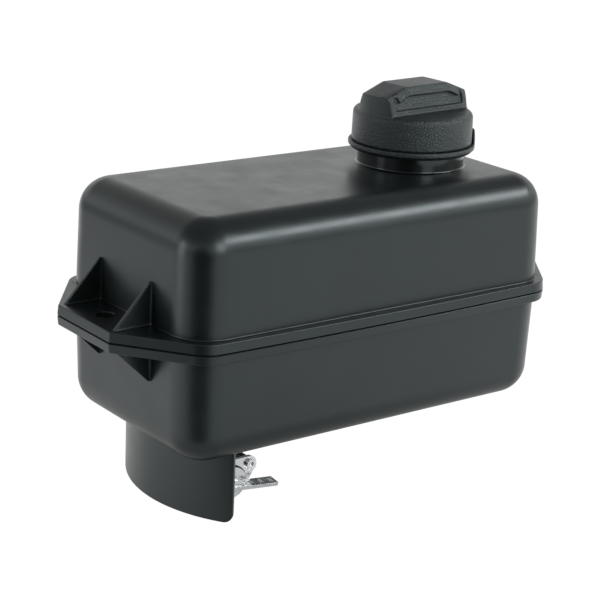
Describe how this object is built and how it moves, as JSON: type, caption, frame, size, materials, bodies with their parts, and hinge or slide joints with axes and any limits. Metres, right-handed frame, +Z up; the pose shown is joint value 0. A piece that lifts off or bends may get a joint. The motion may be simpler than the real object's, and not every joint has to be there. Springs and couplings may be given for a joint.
{
  "type": "hydraulic reservoir",
  "caption": "Black plastic hydraulic oil tank with bolt lugs, a vented screw cap and a shielded bottom outlet with a lever valve.",
  "frame": {"origin": "midway between the two lug bolt holes, on the underside of the lugs", "axes": "+Z up, +X along the tank towards the filler cap"},
  "size_m": [0.33, 0.1604, 0.2592],
  "materials": {
    "tank_plastic": "satin moulded polyamide",
    "cap_plastic": "spark-eroded grain",
    "neck_plastic": "gloss moulded",
    "natural_plastic": "natural polyethylene",
    "seat_plastic": "turned fluoropolymer",
    "seal_rubber": "nitrile rubber",
    "bright_steel": "turned",
    "polished_steel": "polished",
    "zinc_plate": "bright zinc plate",
    "brass": "turned"
  },
  "bodies": {
    "tank": {"upper_shell": "tank_plastic", "lower_shell": "tank_plastic", "filler_neck": "neck_plastic", "strainer_basket": "natural_plastic", "outlet_shield": "tank_plastic", "baffle_plate": "tank_plastic", "suction_strainer": "natural_plastic", "outlet_insert": "brass", "outlet_washer": "bright_steel", "valve_body": "neck_plastic", "ball_seats": "seat_plastic", "stem_seal": "seal_rubber", "valve_plate": "zinc_plate", "plate_screws": "zinc_plate", "thrust_washer": "seal_rubber", "hose_nipple": "brass", "return_nipple": "brass", "return_washer": "bright_steel", "return_pipe": "natural_plastic"},
    "cap_seat": {"seal_plate": "natural_plastic", "cap_gasket": "seal_rubber", "swivel_clip": "bright_steel", "breather_spring": "bright_steel", "breather_retainer": "brass"},
    "cap": {"cap_cover": "cap_plastic", "cap_body": "cap_plastic"},
    "poppet": {"breather_poppet": "brass"},
    "tether": {"tether_ring": "cap_plastic"},
    "valve_lever": {"valve_ball": "polished_steel", "valve_stem": "bright_steel", "lever_hub": "bright_steel", "lever_bar": "zinc_plate", "lever_pin": "bright_steel"}
  },
  "joints": [
    {"name": "cap_rise", "type": "slide", "parent": "tank", "child": "cap_seat", "axis": [0, 0, 1], "range_m": [0, 0.009]},
    {"name": "cap_turn", "type": "hinge", "parent": "cap_seat", "child": "cap", "pos_m": [0.076, 0, 0.106], "axis": [0, 0, 1], "range_deg": [0, 540]},
    {"name": "vent_lift", "type": "slide", "parent": "cap_seat", "child": "poppet", "axis": [0, 0, 1], "range_m": [0, 0.002], "stiffness_N_per_m": 150, "springref_m": -0.003, "deforming": ["breather_spring"]},
    {"name": "tether_swivel", "type": "hinge", "parent": "cap_seat", "child": "tether", "pos_m": [0.076, 0, 0.091], "axis": [0, 0, 1], "continuous": true},
    {"name": "lever_turn", "type": "hinge", "parent": "tank", "child": "valve_lever", "pos_m": [-0.079, -0.0346, -0.097], "axis": [0, 1, 0], "range_deg": [0, 90]}
  ],
  "couplings": [
    {"joint": "cap_rise", "follows": "cap_turn", "m_per_rad": 0.00095493}
  ]
}
